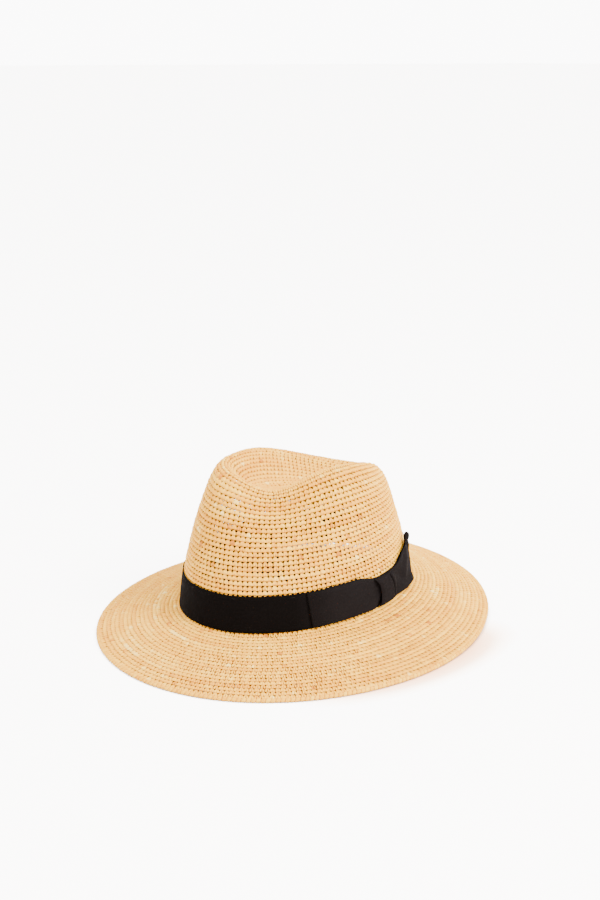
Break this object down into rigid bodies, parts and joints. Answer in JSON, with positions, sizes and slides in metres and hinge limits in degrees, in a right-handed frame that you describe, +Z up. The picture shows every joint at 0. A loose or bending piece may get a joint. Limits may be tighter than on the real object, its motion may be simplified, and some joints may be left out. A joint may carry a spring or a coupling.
{
  "type": "straw sun hat",
  "caption": "Crocheted straw hat with a teardrop crown, a gently sloping wired brim, a dark ribbon band with a flat side bow and an inner sweatband.",
  "frame": {"origin": "centre of the bounding box in plan, on the table the brim edge rests on", "axes": "front of the hat toward -Y, wearer's left (bow) toward +X, +Z up"},
  "size_m": [0.2988, 0.3436, 0.1429],
  "materials": {
    "straw": "crocheted raffia straw, matte with a slight natural sheen",
    "edge_wire": "drawn steel wire",
    "crimp_sleeve": "crimped brass tube",
    "ribbon": "black ribbed ribbon, matte",
    "black_thread": "sewing thread",
    "sweatband_ribbon": "black ribbed ribbon, matte",
    "label_cloth": "plain woven label, blank"
  },
  "bodies": {
    "root": {"straw_crown": "straw", "straw_brim": "straw", "brim_edge_roll": "straw", "brim_wire": "edge_wire", "wire_joiner": "crimp_sleeve", "hat_band": "ribbon", "bow_front_loop": "ribbon", "bow_rear_loop": "ribbon", "bow_tail": "ribbon", "bow_knot": "ribbon", "band_tacks": "black_thread", "bow_tacks": "black_thread", "sweatband": "sweatband_ribbon", "sweatband_stitches": "black_thread", "sweatband_seam_tape": "sweatband_ribbon", "size_label": "label_cloth"}
  },
  "joints": []
}
